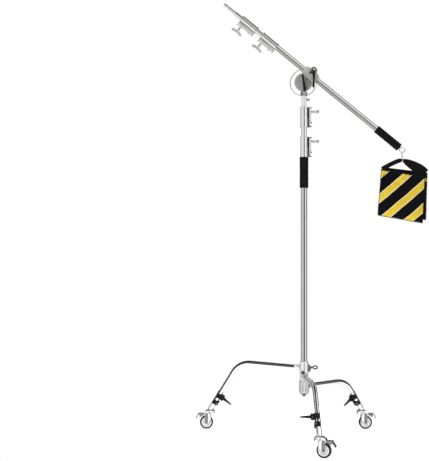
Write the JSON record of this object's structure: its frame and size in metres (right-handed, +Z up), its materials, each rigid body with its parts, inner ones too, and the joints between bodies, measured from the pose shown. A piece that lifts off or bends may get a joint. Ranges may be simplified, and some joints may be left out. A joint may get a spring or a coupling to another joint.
{
  "type": "studio c-stand with boom arm and casters",
  "caption": "Chrome turtle-style stand on casters with telescoping column and boom, tilting head, foam grips and a striped saddle sandbag as counterweight.",
  "frame": {"origin": "at floor level, under the middle of the stand's bounding box; the column's axis stands at x = -38 mm, y = 145 mm", "axes": "+Z up along the column; the boom lies in an XZ plane with its handle end towards +X; -Y is the front"},
  "size_m": [1.2584, 0.8152, 2.3429],
  "materials": {
    "chrome": "polished chrome plate on steel tube",
    "cast_metal": "cast metal, silver grey",
    "black_plastic": "black moulded plastic, satin",
    "foam": "black foam sleeve, matt",
    "tyre": "dark grey rubber",
    "wheel": "pale grey moulded plastic",
    "zinc": "bright zinc-plated pressed steel",
    "striped_fabric": "black woven nylon printed with slanting yellow bands",
    "webbing": "black woven webbing"
  },
  "bodies": {
    "stand": {"base_column": "chrome", "column_grip": "foam", "column_foot_cap": "black_plastic", "top_leg_collar": "chrome", "top_leg": "chrome", "top_caster_stem": "chrome", "top_leg_clamp": "black_plastic", "lower_lock": "chrome"},
    "riser_1": {"riser_1": "chrome", "upper_lock": "chrome"},
    "riser_2": {"riser_2": "chrome"},
    "head": {"head_socket": "cast_metal"},
    "boom_clamp": {"boom_clamp": "cast_metal", "wire_bail": "chrome"},
    "boom_outer": {"boom_outer_tube": "chrome", "boom_outer_lock": "chrome", "boom_grip": "foam", "boom_eye_ring": "chrome"},
    "boom_middle": {"boom_middle_tube": "chrome", "boom_inner_lock": "chrome"},
    "boom_inner": {"boom_inner_tube": "chrome"},
    "sandbag": {"sandbag_front_pouch": "striped_fabric", "sandbag_rear_pouch": "striped_fabric", "sandbag_strap": "webbing"},
    "lower_lock_handle": {"lower_lock_handle": "cast_metal"},
    "upper_lock_handle": {"upper_lock_handle": "cast_metal"},
    "head_set_screw": {"head_set_screw": "cast_metal"},
    "tilt_lever": {"tilt_lever": "black_plastic"},
    "boom_clamp_lever": {"boom_clamp_lever": "black_plastic"},
    "boom_outer_lock_handle": {"boom_outer_lock_handle": "cast_metal"},
    "boom_inner_lock_handle": {"boom_inner_lock_handle": "cast_metal"},
    "leg_lock_knob": {"leg_lock_knob": "cast_metal"},
    "leg_index_ring": {"leg_index_ring": "black_plastic"},
    "snap_hook": {"snap_hook": "chrome"},
    "mid_leg": {"mid_leg_collar": "chrome", "mid_leg": "chrome", "mid_caster_stem": "chrome", "mid_leg_clamp": "black_plastic"},
    "low_leg": {"low_leg_collar": "zinc", "low_leg": "chrome", "low_caster_stem": "chrome", "low_leg_clamp": "black_plastic"},
    "top_clamp_lever": {"top_clamp_lever": "black_plastic"},
    "top_caster": {"top_caster_fork": "zinc", "top_axle": "zinc"},
    "top_wheel": {"top_wheel": "wheel", "top_tyre": "tyre"},
    "top_brake_pedal": {"top_brake_pedal": "zinc"},
    "mid_clamp_lever": {"mid_clamp_lever": "black_plastic"},
    "mid_caster": {"mid_caster_fork": "zinc", "mid_axle": "zinc"},
    "mid_wheel": {"mid_wheel": "wheel", "mid_tyre": "tyre"},
    "mid_brake_pedal": {"mid_brake_pedal": "zinc"},
    "low_clamp_lever": {"low_clamp_lever": "black_plastic"},
    "low_caster": {"low_caster_fork": "zinc", "low_axle": "zinc"},
    "low_wheel": {"low_wheel": "wheel", "low_tyre": "tyre"},
    "low_brake_pedal": {"low_brake_pedal": "zinc"}
  },
  "joints": [
    {"name": "riser_1_slide", "type": "slide", "parent": "stand", "child": "riser_1", "axis": [0, 0, 1], "range_m": [0, 1]},
    {"name": "riser_2_slide", "type": "slide", "parent": "riser_1", "child": "riser_2", "axis": [0, 0, 1], "range_m": [0, 1]},
    {"name": "head_swivel", "type": "hinge", "parent": "riser_2", "child": "head", "pos_m": [-0.038, 0.145, 1.85], "axis": [0, 0, 1], "continuous": true},
    {"name": "boom_tilt", "type": "hinge", "parent": "head", "child": "boom_clamp", "pos_m": [-0.041, 0.145, 1.919], "axis": [0, 1, 0], "range_deg": [-64, 25]},
    {"name": "boom_slide", "type": "slide", "parent": "boom_clamp", "child": "boom_outer", "axis": [0.7738, 0, -0.6334], "range_m": [-0.35, 0.15]},
    {"name": "boom_middle_slide", "type": "slide", "parent": "boom_outer", "child": "boom_middle", "axis": [-0.7738, 0, 0.6334], "range_m": [0, 0.5]},
    {"name": "boom_inner_slide", "type": "slide", "parent": "boom_middle", "child": "boom_inner", "axis": [-0.7738, 0, 0.6334], "range_m": [0, 0.5]},
    {"name": "mid_leg_swing", "type": "hinge", "parent": "stand", "child": "mid_leg", "pos_m": [-0.038, 0.145, 0.329], "axis": [0, 0, 1], "range_deg": [-95, 0]},
    {"name": "low_leg_swing", "type": "hinge", "parent": "stand", "child": "low_leg", "pos_m": [-0.038, 0.145, 0.276], "axis": [0, 0, 1], "range_deg": [0, 95]},
    {"name": "leg_lock_knob_turn", "type": "hinge", "parent": "stand", "child": "leg_lock_knob", "pos_m": [-0.038, 0.145, 0.377], "axis": [1, 0, 0], "range_deg": [-180, 180]},
    {"name": "leg_index_pull", "type": "slide", "parent": "stand", "child": "leg_index_ring", "axis": [0, -1, 0], "range_m": [0, 0.006], "stiffness_N_per_m": 400},
    {"name": "lower_lock_handle_turn", "type": "hinge", "parent": "stand", "child": "lower_lock_handle", "pos_m": [-0.038, 0.145, 1.5997], "axis": [1, 0, 0], "range_deg": [-180, 180]},
    {"name": "upper_lock_handle_turn", "type": "hinge", "parent": "riser_1", "child": "upper_lock_handle", "pos_m": [-0.038, 0.145, 1.7602], "axis": [1, 0, 0], "range_deg": [-180, 180]},
    {"name": "head_set_screw_turn", "type": "hinge", "parent": "head", "child": "head_set_screw", "pos_m": [-0.038, 0.145, 1.826], "axis": [1, 0, 0], "range_deg": [-180, 180]},
    {"name": "tilt_lever_turn", "type": "hinge", "parent": "head", "child": "tilt_lever", "pos_m": [-0.041, 0.145, 1.919], "axis": [0, 1, 0], "range_deg": [-90, 90]},
    {"name": "boom_clamp_lever_turn", "type": "hinge", "parent": "boom_clamp", "child": "boom_clamp_lever", "pos_m": [0.01044, 0.125, 1.98027], "axis": [0, 1, 0], "range_deg": [-60, 60]},
    {"name": "boom_outer_lock_handle_turn", "type": "hinge", "parent": "boom_outer", "child": "boom_outer_lock_handle", "pos_m": [-0.24823, 0.125, 2.15581], "axis": [-0.6334, 0, -0.7738], "range_deg": [-180, 180]},
    {"name": "boom_inner_lock_handle_turn", "type": "hinge", "parent": "boom_middle", "child": "boom_inner_lock_handle", "pos_m": [-0.35734, 0.125, 2.24512], "axis": [-0.6334, 0, -0.7738], "range_deg": [-180, 180]},
    {"name": "top_clamp_lever_swing", "type": "hinge", "parent": "stand", "child": "top_clamp_lever", "pos_m": [-0.47462, 0.35326, 0.17662], "axis": [0.4903, -0.2339, 0.8396], "range_deg": [-85, 0]},
    {"name": "top_caster_swivel", "type": "hinge", "parent": "stand", "child": "top_caster", "pos_m": [-0.54345, 0.38609, 0.1], "axis": [0, 0, 1], "continuous": true},
    {"name": "top_wheel_spin", "type": "hinge", "parent": "top_caster", "child": "top_wheel", "pos_m": [-0.56745, 0.38609, 0.038], "axis": [0, -1, 0], "continuous": true},
    {"name": "top_brake_pedal_press", "type": "hinge", "parent": "top_caster", "child": "top_brake_pedal", "pos_m": [-0.57445, 0.38609, 0.084], "axis": [0, -1, 0], "range_deg": [0, 5]},
    {"name": "mid_clamp_lever_swing", "type": "hinge", "parent": "mid_leg", "child": "mid_clamp_lever", "pos_m": [-0.04008, -0.31243, 0.19194], "axis": [-0.0341, 0.558, 0.8292], "range_deg": [-85, 0]},
    {"name": "mid_caster_swivel", "type": "hinge", "parent": "mid_leg", "child": "mid_caster", "pos_m": [-0.00693, -0.36305, 0.1], "axis": [0, 0, 1], "continuous": true},
    {"name": "mid_wheel_spin", "type": "hinge", "parent": "mid_caster", "child": "mid_wheel", "pos_m": [0.01563, -0.37126, 0.038], "axis": [0.342, 0.9397, 0], "continuous": true},
    {"name": "mid_brake_pedal_press", "type": "hinge", "parent": "mid_caster", "child": "mid_brake_pedal", "pos_m": [0.0222, -0.37365, 0.084], "axis": [0.342, 0.9397, 0], "range_deg": [0, 5]},
    {"name": "low_clamp_lever_swing", "type": "hinge", "parent": "low_leg", "child": "low_clamp_lever", "pos_m": [0.24006, 0.3361, 0.17494], "axis": [-0.4627, -0.318, 0.8275], "range_deg": [-85, 0]},
    {"name": "low_caster_swivel", "type": "hinge", "parent": "low_leg", "child": "low_caster", "pos_m": [0.30401, 0.38006, 0.1], "axis": [0, 0, 1], "continuous": true},
    {"name": "low_wheel_spin", "type": "hinge", "parent": "low_caster", "child": "low_wheel", "pos_m": [0.32801, 0.38006, 0.038], "axis": [0, 1, 0], "continuous": true},
    {"name": "low_brake_pedal_press", "type": "hinge", "parent": "low_caster", "child": "low_brake_pedal", "pos_m": [0.33501, 0.38006, 0.084], "axis": [0, 1, 0], "range_deg": [0, 5]},
    {"name": "hook_swing", "type": "hinge", "parent": "boom_outer", "child": "snap_hook", "pos_m": [0.48952, 0.125, 1.55198], "axis": [0, 1, 0], "range_deg": [-25, 64]},
    {"name": "sandbag_swing", "type": "hinge", "parent": "snap_hook", "child": "sandbag", "pos_m": [0.48952, 0.125, 1.4825], "axis": [0, 1, 0], "range_deg": [-25, 25]}
  ],
  "couplings": [
    {"joint": "hook_swing", "follows": "boom_tilt", "ratio": -1}
  ]
}
